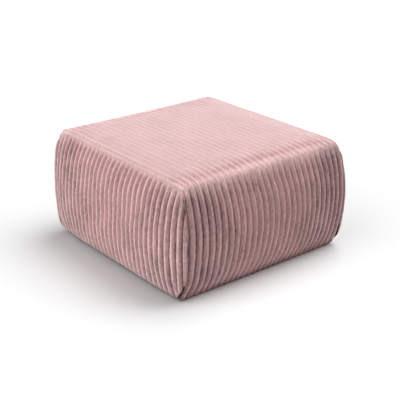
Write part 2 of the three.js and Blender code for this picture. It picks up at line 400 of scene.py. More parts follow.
    def seam(self, samples: int = 900) -> "SeamLine":
        """Follows the wrap's left edge, where the end cover is sewn on.

        Args:
            samples: Number of points.

        Returns:
            The seam, by its points and by its places on the end cover's cloth.
        """
        along = np.linspace(self.hem, self.spine.length - self.hem, samples)
        points, normals = self.wrap(np.full(samples, -self.wrap_half), along)
        across, height = self.on_end(points)
        return SeamLine(across, height, points, normals)


@dataclass
class SeamLine:
    """The line where an end cover meets the wrap."""

    across: Array
    height: Array
    points: Array
    normals: Array

    @property
    def spread(self) -> float:
        """Furthest that the end cover reaches to each side, on its cloth."""
        return float(min(self.across.max(), -self.across.min()))

    def crossings(self, across: float) -> list[tuple[float, Array, Array]]:
        """Finds where an upright line of the end cover meets the seam.

        Args:
            across: Place of the line on the cloth.

        Returns:
            Height, point and outward direction of each meeting, lowest first.
        """
        gap = self.across - across
        found = []
        for i in np.nonzero(gap[:-1] * gap[1:] <= 0)[0]:
            share = gap[i] / (gap[i] - gap[i + 1]) if gap[i] != gap[i + 1] else 0.0
            height = self.height[i] + share * (self.height[i + 1] - self.height[i])
            point = self.points[i] + share * (self.points[i + 1] - self.points[i])
            found.append((float(height), point, self.normals[i]))
        return sorted(found, key=lambda entry: entry[0])

    def distance(self, points: Array, reach: float) -> Array:
        """Measures how far points lie from the seam.

        Args:
            points: The points.
            reach: Distance at which the measure ends.

        Returns:
            The distances.
        """
        tree = search_tree(self.points)
        found = np.array([tree.find(point)[2] for point in points.reshape(-1, 3)])
        return np.minimum(found, reach).reshape(points.shape[:-1])


class Wire:
    """A socket of a node tree that takes part in arithmetic."""

    def __init__(self, graph: "Graph", socket: bpy.types.NodeSocket) -> None:
        """Keeps the graph and the socket."""
        self.graph = graph
        self.socket = socket

    def math(self, operation: str, *others: Any) -> "Wire":
        """Returns the outcome of a Math node on this socket and the others."""
        values = {index: value for index, value in enumerate((self, *others))}
        return self.graph.add("ShaderNodeMath", {"operation": operation}, values)

    def __add__(self, other: Any) -> "Wire":
        """Adds."""
        return self.math("ADD", other)

    def __radd__(self, other: Any) -> "Wire":
        """Adds, from the right."""
        return self.math("ADD", other)

    def __sub__(self, other: Any) -> "Wire":
        """Takes away."""
        return self.math("SUBTRACT", other)

    def __rsub__(self, other: Any) -> "Wire":
        """Takes this away from a number."""
        return self.graph.add("ShaderNodeMath", {"operation": "SUBTRACT"}, {0: other, 1: self})

    def __mul__(self, other: Any) -> "Wire":
        """Multiplies."""
        return self.math("MULTIPLY", other)

    def __rmul__(self, other: Any) -> "Wire":
        """Multiplies, from the right."""
        return self.math("MULTIPLY", other)

    def __truediv__(self, other: Any) -> "Wire":
        """Divides."""
        return self.math("DIVIDE", other)

    def __abs__(self) -> "Wire":
        """Returns the size without its sign."""
        return self.math("ABSOLUTE")

    def between(self, low: float, high: float) -> "Wire":
        """Returns 0 below `low`, 1 above `high` and an eased step between."""
        settings = {"interpolation_type": "SMOOTHSTEP"}
        return self.graph.add("ShaderNodeMapRange", settings, {"Value": self, 1: low, 2: high})


class Graph:
    """A node tree that is written as expressions."""

    def __init__(self, tree: bpy.types.NodeTree) -> None:
        """Keeps the tree."""
        self.tree = tree

    def node(self, kind: str, settings: Settings = None, inputs: Inputs = None) -> bpy.types.Node:
        """Adds a node.

        Args:
            kind: Type name of the node.
            settings: Its properties, set first.
            inputs: Values or wires of its sockets, by name or number.

        Returns:
            The new node.
        """
        node = self.tree.nodes.new(kind)
        for name, value in (settings or {}).items():
            setattr(node, name, value)
        for name, value in (inputs or {}).items():
            if isinstance(value, Wire):
                self.tree.links.new(value.socket, node.inputs[name])
            else:
                node.inputs[name].default_value = value
        return node

    def add(self, kind: str, settings: Settings = None, inputs: Inputs = None, output: Any = 0) -> Wire:
        """Adds a node and returns one of its outputs, by name or number."""
        return Wire(self, self.node(kind, settings, inputs).outputs[output])

    def vector(self, operation: str, first: Any, second: Any) -> Wire:
        """Returns the outcome of a Vector Math node on two vectors."""
        return self.add("ShaderNodeVectorMath", {"operation": operation}, {0: first, 1: second})

    def scale(self, vector: Wire, size: Wire) -> Wire:
        """Returns a vector or colour times a number."""
        return self.add("ShaderNodeVectorMath", {"operation": "SCALE"}, {0: vector, "Scale": size})

    def clamp(self, value: Wire) -> Wire:
        """Keeps a value between 0 and 1."""
        return self.add("ShaderNodeClamp", inputs={0: value})

    def mix_colour(self, share: Any, first: Any, second: Any) -> Wire:
        """Mixes two colours.

        Args:
            share: How much of the second one.
            first: Colour or wire.
            second: Colour or wire.

        Returns:
            The mixed colour.
        """
        settings = {"data_type": "RGBA", "clamp_factor": True}
        return self.add("ShaderNodeMix", settings, {0: share, 6: first, 7: second}, 2)

    def end_in(self, shader: Wire) -> None:
        """Ends a material in a shader."""
        self.node("ShaderNodeOutputMaterial", inputs={"Surface": shader})


def new_material(name: str) -> tuple[bpy.types.Material, Graph]:
    """Makes a material without nodes.

    Args:
        name: Name of the material.

    Returns:
        The material and its graph.
    """
    material = bpy.data.materials.new(name)
    material.use_nodes = True
    material.node_tree.nodes.clear()
    return material, Graph(material.node_tree)


@dataclass(frozen=True)
class Grain:
    """A noise over the cloth's own places."""

    scale: float
    along: float
    detail: float
    strength: float
    roughness: float = 0.6

    def over(self, graph: Graph, place: Wire) -> Wire:
        """Adds the noise, stretched along the ribs.

        Args:
            graph: Graph of the material.
            place: Place on the cloth.

        Returns:
            Values from 0 to 1.
        """
        spread = graph.vector("MULTIPLY", place, (1.0, self.along, 0.0))
        return graph.add("ShaderNodeTexNoise", {"noise_dimensions": "3D"}, {
            "Vector": spread, "Scale": self.scale, "Detail": self.detail, "Roughness": self.roughness})


class ClothSpot:
    """What the cloth's material reads at a point: its place, how near a crest it is, and its noises."""

    def __init__(self, graph: Graph, cloth: "CordCloth") -> None:
        """Adds the nodes that read it.

        Args:
            graph: Graph of the material.
            cloth: The cloth, with its noises.
        """
        place = graph.add("ShaderNodeAttribute", {"attribute_name": "weave"}, output="Vector")
        self.crest = graph.add("ShaderNodeAttribute", {"attribute_name": "crest"}, output="Fac")
        point = graph.add("ShaderNodeTexCoord", output="Object")
        axes = graph.node("ShaderNodeSeparateXYZ", inputs={0: point})
        self.width = abs(Wire(graph, axes.outputs["X"]))
        self.depth = abs(Wire(graph, axes.outputs["Y"]))
        self.height = Wire(graph, axes.outputs["Z"])
        self.nap = cloth.nap.over(graph, place)
        self.streak = cloth.streak.over(graph, place)
        self.pile = cloth.pile.over(graph, place)
        self.mottle = cloth.mottle.over(graph, place)
        self.speck = cloth.speck.over(graph, place)


@dataclass(frozen=True)
class CordCloth:
    """Brushed wide cord: crests paler with a painted highlight, grooves and corner seams darker with painted
    shade, and a short pile that catches the light.

    A band holds the two values between which an effect comes on: how near a crest a point is, a distance
    from the middle of the pouf, a height above the floor, or a noise.
    """

    face: Colour = (0.30, 0.146, 0.144, 1.0)
    # Painted highlight: a paler colour on the crest of every rib.
    crest_highlight: Colour = (0.45, 0.258, 0.253, 1.0)
    # Painted highlight: a paler colour along the top edges, where they turn up to the light.
    edge_highlight: Colour = (0.58, 0.39, 0.385, 1.0)
    # Painted shade: the groove colour darkens the hollows between the ribs, and the near-black seam colour
    # the corner seams.
    groove: Colour = (0.22, 0.096, 0.092, 1.0)
    seam: Colour = (0.045, 0.016, 0.015, 1.0)
    groove_shade_band: Band = (-0.4, 0.1)
    face_band: Band = (0.0, 0.3)
    crest_highlight_band: Band = (0.90, 1.0)

    nap: Grain = Grain(scale=9.0, along=1.0, detail=3.0, strength=0.9)
    streak: Grain = Grain(scale=230.0, along=0.06, detail=2.0, strength=1.0)
    pile: Grain = Grain(scale=1500.0, along=0.45, detail=2.0, strength=0.7)
    mottle: Grain = Grain(scale=150.0, along=0.5, detail=3.0, strength=1.3)
    speck: Grain = Grain(scale=230.0 / 3.0, along=0.35, detail=4.0, strength=0.18)
    speck_band: Band = (0.32, 0.44)

    brushed_heights: Band = (0.365, 0.395)
    brushed_evenness: float = 0.25
    middle_depths: Band = (0.12, 0.30)
    middle_evenness: float = 0.35

    # Painted highlight along the top edges and the upper band of the front and back.
    edge_highlight_share: float = 0.45
    edge_highlight_front_heights: Band = (0.335, 0.380)
    edge_highlight_front_depths: Band = (0.26, 0.33)
    edge_highlight_heights: Band = (0.370, 0.388)
    edge_highlight_top_heights: Band = (0.392, 0.399)

    # Painted light in the grooves amid a face, and painted shade near the upright corners.
    painted_groove_light: float = 0.35
    painted_groove_light_band: Band = (0.2, 1.0)
    corner_widths: Band = (0.06, 0.30)
    corner_depths: Band = (0.06, 0.32)
    corner_top_heights: Band = (0.340, 0.390)
    corner_shadow: float = 0.07
    corner_groove_shadow: float = 0.65

    # Painted shade near the floor: a darker, redder colour over the lowest few centimetres.
    foot: Colour = (0.27, 0.124, 0.120, 1.0)
    foot_shade_share: float = 0.9
    foot_shade_heights: Band = (0.008, 0.030)
    foot_shade_waver: float = 0.012
    # Painted shadow: a near-black colour along the foot of the end covers, where the contact shadow falls.
    end_foot_shadow: Colour = (0.085, 0.055, 0.053, 1.0)
    end_foot_shadow_share: float = 0.8
    end_foot_shadow_heights: Band = (0.004, 0.022)
    end_foot_shadow_widths: Band = (0.335, 0.350)

    roughness: float = 0.92
    roughness_waver: float = 0.1
    specular: float = 0.15
    bump_strength: float = 0.55
    bump_distance: float = 0.0012
    pile_bump: float = 0.6
    streak_bump: float = 0.5
    sheen: float = 1.0
    sheen_roughness: float = 0.6
    sheen_tint: Colour = (1.0, 0.80, 0.80, 1.0)
    # Where the pile loses its sheen: painted shade in the grooves and at the floor, and less sheen where the
    # noises darken it.
    sheen_band: Band = (0.05, 0.55)
    floor_shade_sheen_loss: float = 0.5
    shade_flatness: float = 0.9

    def material(self) -> bpy.types.Material:
        """Builds the cloth's pile, with sheen on the crests, and a copy without sheen that paints shade in
        the grooves and at the floor.

        Returns:
            The material.
        """
        material, graph = new_material("cord_cloth")
        spot = ClothSpot(graph, self)
        shade = self._shade(spot)
        # Painted shade at the floor, with a wavering upper edge.
        floor_shade = 1.0 - (spot.height + (spot.nap - 0.5) * self.foot_shade_waver).between(*self.foot_shade_heights)
        surface = {
            "Base Color": self._shade_at_foot(graph, spot, floor_shade, self._tone(graph, spot, shade)),
            "Roughness": graph.clamp(self.roughness + (spot.pile - 0.5) * self.roughness_waver),
            "Normal": graph.add("ShaderNodeBump", inputs={
                "Strength": self.bump_strength, "Distance": self.bump_distance,
                "Height": spot.pile * self.pile_bump + spot.streak * self.streak_bump}),
            "Specular IOR Level": self.specular,
        }
        sheen = {
            "Sheen Weight": self.sheen, "Sheen Roughness": self.sheen_roughness,
            "Sheen Tint": self.sheen_tint,
        }
        # Lit and shaded copies of the pile: the copy without sheen is painted shade in the grooves and at the
        # floor.
        brushed_pile = graph.add("ShaderNodeBsdfPrincipled", inputs=surface | sheen)
        shaded_pile = graph.add("ShaderNodeBsdfPrincipled", inputs=surface)
        groove_sheen_shade = 1.0 - spot.crest.between(*self.sheen_band)
        sheen_shade = graph.clamp(groove_sheen_shade + floor_shade * self.floor_shade_sheen_loss - shade * self.shade_flatness)
        graph.end_in(graph.add("ShaderNodeMixShader", inputs={0: sheen_shade, 1: brushed_pile, 2: shaded_pile}))
        return material

    def _shade(self, spot: ClothSpot) -> Wire:
        """Adds up how much lighter or darker the noises make the pile: less on the brushed top.

        Args:
            spot: What the material reads at a point.

        Returns:
            Shares of its brightness, around 0.
        """
        shade = (spot.nap - 0.5) * self.nap.strength + (spot.streak - 0.5) * self.streak.strength
        shade = shade + (spot.mottle - 0.5) * self.mottle.strength + (spot.pile - 0.5) * self.pile.strength
        specks = (1.0 - spot.speck.between(*self.speck_band)) * self.speck.strength
        middle = 1.0 - spot.depth.between(*self.middle_depths)
        evenness = self.brushed_evenness + middle * self.middle_evenness
        return (shade - specks) * (1.0 - spot.height.between(*self.brushed_heights) * evenness)

    def _tone(self, graph: Graph, spot: ClothSpot, shade: Wire) -> Wire:
        """Returns the colour from groove to crest, with painted shade and highlights, and a painted highlight
        along the top edges.

        Args:
            graph: Graph of the material.
            spot: What it reads at a point.
            shade: How much lighter the pile is there.

        Returns:
            The colour.
        """
        # Painted shade: near-black in the corner seams, dark in the hollows between the ribs.
        tone = graph.mix_colour(spot.crest.between(*self.groove_shade_band), self.seam, self.groove)
        tone = graph.mix_colour(spot.crest.between(*self.face_band), tone, self.face)
        # Painted highlight on the crests.
        tone = graph.mix_colour(spot.crest.between(*self.crest_highlight_band), tone, self.crest_highlight)
        # Painted highlight along the top edges, fading out on the top.
        front = spot.height.between(*self.edge_highlight_front_heights) * spot.depth.between(*self.edge_highlight_front_depths)
        edge = front.math("MAXIMUM", spot.height.between(*self.edge_highlight_heights))
        edge = edge - spot.height.between(*self.edge_highlight_top_heights)
        tone = graph.mix_colour(edge * self.edge_highlight_share, tone, self.edge_highlight)
        # Scales the colour by the noises, with painted light in the grooves and painted shade near the
        # corners.
        lit = graph.scale(tone, 1.0 + shade + self._painted_groove_light_and_corner_shade(spot))
        return graph.vector("MINIMUM", lit, WHITE[:3])

    def _painted_groove_light_and_corner_shade(self, spot: ClothSpot) -> Wire:
        """Paints light into the grooves amid a face, and paints shade over all the cloth near an upright
        corner.

        Args:
            spot: What the material reads at a point.

        Returns:
            Shares of its brightness, around 0.
        """
        corner = spot.width.between(*self.corner_widths) * spot.depth.between(*self.corner_depths)
        corner = corner * (1.0 - spot.height.between(*self.corner_top_heights))
        grooved = 1.0 - spot.crest.between(*self.painted_groove_light_band)
        shadow = self.corner_shadow + grooved * self.corner_groove_shadow
        return grooved * self.painted_groove_light - corner * shadow

    def _shade_at_foot(self, graph: Graph, spot: ClothSpot, floor_shade: Wire, tone: Wire) -> Wire:
        """Paints shade on the cloth at the floor, and a darker painted shadow under the end covers.

        Args:
            graph: Graph of the material.
            spot: What it reads at a point.
            floor_shade: How near the floor the point is.
            tone: Colour of the cloth above.

        Returns:
            The colour.
        """
        # Painted shade near the floor.
        colour = graph.mix_colour(floor_shade * self.foot_shade_share, tone, self.foot)
        # Painted contact shadow along the foot of the end covers.
        under_end_shadow = 1.0 - spot.height.between(*self.end_foot_shadow_heights)
        under_end_shadow = under_end_shadow * spot.width.between(*self.end_foot_shadow_widths)
        return graph.mix_colour(under_end_shadow * self.end_foot_shadow_share, colour, self.end_foot_shadow)


@dataclass(frozen=True)
class BaseCloth:
    """Thin dark lining cloth under the pouf."""

    colour: Colour = (0.030, 0.026, 0.026, 1.0)
    light: Colour = (0.055, 0.048, 0.048, 1.0)
    dot_scale: float = 420.0
    dot_band: Band = (0.2, 0.8)
    dot_share: float = 0.6
    mottle_scale: float = 30.0
    mottle_share: float = 0.4
    bump_strength: float = 0.4
    bump_distance: float = 0.0003
    roughness: float = 0.85

    def material(self) -> bpy.types.Material:
        """Builds the cloth's material, with its fine dots.

        Returns:
            The material.
        """
        material, graph = new_material("base_cloth")
        point = graph.add("ShaderNodeTexCoord", output="Object")
        dots = graph.add("ShaderNodeTexVoronoi", {"feature": "F1"}, {
            "Vector": point, "Scale": self.dot_scale})
        mottle = graph.add("ShaderNodeTexNoise", inputs={
            "Vector": point, "Scale": self.mottle_scale, "Detail": 3.0})
        share = dots.between(*self.dot_band) * self.dot_share + mottle * self.mottle_share
        bump = graph.add("ShaderNodeBump", inputs={
            "Strength": self.bump_strength, "Distance": self.bump_distance, "Height": dots})
        graph.end_in(graph.add("ShaderNodeBsdfPrincipled", inputs={
            "Base Color": graph.mix_colour(share, self.light, self.colour),
            "Roughness": self.roughness, "Normal": bump}))
        return material


@dataclass(frozen=True)
class Thread:
    """Matt sewing thread in the cloth's own colour."""

    colour: Colour = (0.34, 0.18, 0.18, 1.0)
    dark: Colour = (0.20, 0.10, 0.10, 1.0)
    twist_scale: float = 900.0
    roughness: float = 0.6

    def material(self) -> bpy.types.Material:
        """Builds the thread's material, with its twist.

        Returns:
            The material.
        """
        material, graph = new_material("thread")
        point = graph.add("ShaderNodeTexCoord", output="Object")
        twist = graph.add("ShaderNodeTexNoise", inputs={
            "Vector": point, "Scale": self.twist_scale, "Detail": 2.0})
        graph.end_in(graph.add("ShaderNodeBsdfPrincipled", inputs={
            "Base Color": graph.mix_colour(twist, self.dark, self.colour), "Roughness": self.roughness}))
        return material


def settle(piece: bpy.types.Object) -> None:
    """Turns an object with modifiers into a plain mesh.

    Args:
        piece: The object.
    """
    graph = bpy.context.evaluated_depsgraph_get()
    mesh = bpy.data.meshes.new_from_object(piece.evaluated_get(graph))
    piece.modifiers.clear()
    piece.data = mesh
    mesh.name = piece.name


def new_piece(
    name: str, points: Array, faces: Faces, edges: list[tuple[int, int]] | None = None
) -> bpy.types.Object:
    """Makes a smooth mesh object.

    Args:
        name: Name of the piece.
        points: Its vertices.
        faces: Corner numbers of each face.
        edges: Corner numbers of each edge that has no face.

    Returns:
        The object, in the scene.
    """
    mesh = bpy.data.meshes.new(name)
    mesh.from_pydata(points.tolist(), edges or [], faces)
    mesh.validate()
    mesh.shade_smooth()
    piece = bpy.data.objects.new(name, mesh)
    bpy.context.scene.collection.objects.link(piece)
    return piece


def grid_faces(numbers: Array, flip: bool = False) -> Faces:
    """Joins rows of vertex numbers into quads.

    Args:
        numbers: Vertex numbers, by row and column.
        flip: Turns the faces over.

    Returns:
        Corner numbers of each quad.
    """
    a, b = numbers[:-1, :-1].ravel(), numbers[:-1, 1:].ravel()
    c, d = numbers[1:, 1:].ravel(), numbers[1:, :-1].ravel()
    corners = (a, d, c, b) if flip else (a, b, c, d)
    return list(zip(*(corner.tolist() for corner in corners)))


def read_points(mesh: bpy.types.Mesh) -> Array:
    """Reads the vertices of a mesh.

    Args:
        mesh: The mesh.

    Returns:
        Their places.
    """
    found = np.empty(len(mesh.vertices) * 3)
    mesh.vertices.foreach_get("co", found)
    return found.reshape(-1, 3)


class ShapeTree:
    """A Geometry Nodes tree with named inputs, which runs once on a piece."""

    def __init__(self, name: str, kinds: dict[str, str]) -> None:
        """Makes the tree with its inputs.

        Args:
            name: Name of the tree.
            kinds: Kind of socket of each input, by its name.
        """
        self.tree = bpy.data.node_groups.new(name, "GeometryNodeTree")
        face = self.tree.interface
        face.new_socket("Geometry", in_out="INPUT", socket_type="NodeSocketGeometry")
        self.sockets = {
            title: face.new_socket(title, in_out="INPUT", socket_type=f"NodeSocket{kind}").identifier
            for title, kind in kinds.items()
        }
        face.new_socket("Geometry", in_out="OUTPUT", socket_type="NodeSocketGeometry")
        self.graph = Graph(self.tree)
        entry = self.graph.node("NodeGroupInput")
        self.geometry = Wire(self.graph, entry.outputs["Geometry"])
        self.given = {title: Wire(self.graph, entry.outputs[title]) for title in kinds}

    def end_in(self, geometry: Wire, material: Wire) -> None:
        """Ends the tree in a shape, with its instances made real.

        Args:
            geometry: The shape.
            material: What it is made of.
        """
        real = self.graph.add("GeometryNodeRealizeInstances", inputs={"Geometry": geometry})
        dressed = self.graph.add("GeometryNodeSetMaterial", inputs={"Geometry": real, "Material": material})
        self.graph.node("NodeGroupOutput", inputs={"Geometry": dressed})

    def run_on(self, piece: bpy.types.Object, chosen: dict[str, Any]) -> None:
        """Runs the tree on a piece and leaves it a plain mesh.

        Args:
            piece: The object.
            chosen: Value of each input, by its name.
        """
        modifier = piece.modifiers.new(self.tree.name, "NODES")
        modifier.node_group = self.tree
        for title, value in chosen.items():
            modifier[self.sockets[title]] = value
        settle(piece)


@dataclass(frozen=True)
class RibShape:
    """Cross-section of one rib of the cloth."""

    height: float = 0.0078
    edge_turn: float = 1.15
    lean: float = 0.22
    lumps: float = 0.11
    lump_scale: float = 26.0
    end_width: float = 0.009
    marks: tuple = (0.0, 0.03, 0.08, 0.16, 0.27, 0.39, 0.51, 0.61, 0.70, 0.79, 0.88, 0.96)

    def edges(self, low: float, high: float, pitch: float, origin: float) -> Array:
        """Returns where the cloth has a line of points, between two places across it.

        Args:
            low: First place across.
            high: Last place across.
            pitch: Width of a rib.
            origin: Place of a groove.

        Returns:
            Places across, ordered.
        """
        first = math.floor((low - origin) / pitch)
        last = math.ceil((high - origin) / pitch)
        ribs = origin + np.arange(first, last + 1)[:, None] * pitch + np.array(self.marks) * pitch
        places = ribs.ravel()
        return places[(places > low) & (places < high)]


@dataclass
class ClothPlaces:
    """What the ribs need at each point of a cover.

    The weave is a place across and along the cloth, and the number of its rib. The relief is the share of
    their full height that the ribs have there. The tone is how pale the cloth is where it has no rib, and
    below zero, down the corner seams, it is painted shade.
    """

    weave: Array
    relief: Array
    tone: Array


class CordRibs:
    """Geometry Nodes that raise the ribs of the cloth, each with lumps of its own."""

    rib_spacing: float = 3.7
    weld_distance: float = 1e-6

    def __init__(self, shape: RibShape) -> None:
        """Builds the tree.

        Args:
            shape: Cross-section of a rib.
        """
        self.shape = shape
        numbers = ("Height", "Edge Turn", "Lean", "Lumps", "Lump Scale")
        self.tree = ShapeTree("cord_ribs", {name: "Float" for name in numbers} | {"Cloth": "Material"})
        graph, given = self.tree.graph, self.tree.given
        place = self._read("weave", "FLOAT_VECTOR")
        relief = self._read("relief", "FLOAT")
        bare = self._read("bare_tone_and_seam_shade", "FLOAT")
        parts = graph.node("ShaderNodeSeparateXYZ", inputs={0: place})
        along, rib = Wire(graph, parts.outputs["Y"]), Wire(graph, parts.outputs["Z"])

        profile = self._profile(rib)
        raised = profile * relief * self._lumps(along, rib)
        normal = graph.add("GeometryNodeInputNormal")
        moved = graph.add("GeometryNodeSetPosition", inputs={
            "Geometry": self.tree.geometry, "Offset": graph.scale(normal, raised * given["Height"])})
        share = relief.math("MINIMUM", 1.0)
        # The crest attribute also carries the bare cloth's tone, below zero as painted shade down the corner
        # seams.
        stored = graph.add("GeometryNodeStoreNamedAttribute", {"data_type": "FLOAT", "domain": "POINT"}, {
            "Geometry": moved, "Name": "crest", "Value": profile * share + (1.0 - share) * bare})
        self.tree.end_in(stored, given["Cloth"])

    def _read(self, name: str, kind: str) -> Wire:
        """Returns one of the attributes that a cover has."""
        return self.tree.graph.add("GeometryNodeInputNamedAttribute", {"data_type": kind}, {"Name": name})

    def _profile(self, rib: Wire) -> Wire:
        """Shapes a rib as an arc that leans to one side.

        Args:
            rib: Number of the rib, with the share of the way across it.

        Returns:
            The height, from 0 in the grooves to 1.
        """
        lean, turn = self.tree.given["Lean"], self.tree.given["Edge Turn"]
        past_ridge = rib.math("FRACT") * 2.0 - 1.0 - lean
        from_crest = past_ridge / (1.0 - lean * past_ridge.math("SIGN"))
        slope = from_crest * turn.math("SINE")
        sagitta = turn.math("COSINE")
        return ((1.0 - slope * slope).math("SQRT") - sagitta) / (1.0 - sagitta)

    def _lumps(self, along: Wire, rib: Wire) -> Wire:
        """Makes a rib uneven along its length.

        Args:
            along: Place along the cloth.
            rib: Number of the rib.

        Returns:
            Factors of its height, around 1.
        """
        graph, given = self.tree.graph, self.tree.given
        spot = graph.add("ShaderNodeCombineXYZ", inputs={
            "X": rib.math("FLOOR") * self.rib_spacing, "Y": along * given["Lump Scale"]})
        lumps = graph.add("ShaderNodeTexNoise", {"noise_dimensions": "3D"}, {
            "Vector": spot, "Scale": 1.0, "Detail": 1.0, "Roughness": 0.5})
        return 1.0 + (lumps - 0.5) * 2.0 * given["Lumps"]

    def dress(
        self, piece: bpy.types.Object, places: ClothPlaces, cloth: bpy.types.Material, floor: float
    ) -> bpy.types.Object:
        """Welds a cover, raises its ribs and flattens what would reach below the floor.

        Args:
            piece: The cover, without ribs.
            places: What the ribs need at each of its points.
            cloth: Its material.
            floor: Lowest height that it may have.

        Returns:
            The same piece.
        """
        self._write(piece, "weave", "FLOAT_VECTOR", places.weave)
        self._write(piece, "relief", "FLOAT", places.relief)
        self._write(piece, "bare_tone_and_seam_shade", "FLOAT", places.tone)
        weld = piece.modifiers.new("weld", "WELD")
        weld.merge_threshold = self.weld_distance
        settle(piece)
        shape = self.shape
        self.tree.run_on(piece, {
            "Height": shape.height, "Edge Turn": shape.edge_turn, "Lean": shape.lean, "Lumps": shape.lumps,
            "Lump Scale": shape.lump_scale, "Cloth": cloth})
        points = read_points(piece.data)
        points[:, 2] = np.maximum(points[:, 2], floor)
        piece.data.vertices.foreach_set("co", points.ravel())
        return piece

    @staticmethod
    def _write(piece: bpy.types.Object, name: str, kind: str, values: Array) -> None:
        """Stores a number or a vector for each vertex.

        Args:
            piece: Object with the vertices.
            name: Name of the attribute.
            kind: Its type: FLOAT or FLOAT_VECTOR.
            values: What is stored.
        """
        attribute = piece.data.attributes.new(name, kind, "POINT")
        key = "vector" if kind == "FLOAT_VECTOR" else "value"
        attribute.data.foreach_set(key, values.astype(np.float32).ravel())


@dataclass
class SeamTuck:
    """How the covers are drawn in along a seam: little along the top, and deeply down the corners."""

    top_depth: float = 0.0020
    corner_depth: float = 0.0115
    foot_depth: float = 0.0045
    foot_low: float = 0.025
    foot_high: float = 0.13
    width: float = 0.013
    low_start: float = 0.345
    low_end: float = 0.372
    top_tone: float = 0.85
    # Painted shade: the bare cloth down the corner seams is darkened below the groove colour.
    seam_shade_tone: float = -0.9
    edge_gain: float = 0.35
    edge_height: float = 0.348
    edge_reach: float = 0.045
    corner_gain: float = 0.45
    corner_reach: float = 0.075

    def depth(self, distance: Array, height: Array, full: float) -> Array:
        """Tells how far the grooves lie below the crests.

        Args:
            distance: Distance from the seam.
            height: Height above the floor.
            full: Depth of the grooves away from the seam and from the top edge.

        Returns:
            The depths.
        """
        on_top = smooth(self.low_start, self.low_end, height)
        off_foot = smooth(self.foot_low, self.foot_high, height)
        at_seam = self.foot_depth + (self.corner_depth - self.foot_depth) * off_foot
        at_seam += (self.top_depth - at_seam) * on_top
        under_edge = np.exp(-(((height - self.edge_height) / self.edge_reach) ** 2))
        by_corner = np.exp(-((distance / self.corner_reach) ** 2)) * (1.0 - under_edge) * off_foot
        full = full * (1.0 + self.edge_gain * under_edge + self.corner_gain * by_corner)
        return at_seam + (full - at_seam) * smooth(0.0, self.width, distance)

    def deepest(self, full: float) -> float:
        """Returns the depth that no groove passes."""
        return max(full * (1.0 + max(self.edge_gain, self.corner_gain)), self.corner_depth)

    def tone(self, height: Array) -> Array:
        """Returns how pale the bare cloth at a seam is: painted shade down the corners, plain along the top.
        """
        on_top = smooth(self.low_start, self.low_end, height)
        return self.seam_shade_tone + (self.top_tone - self.seam_shade_tone) * on_top


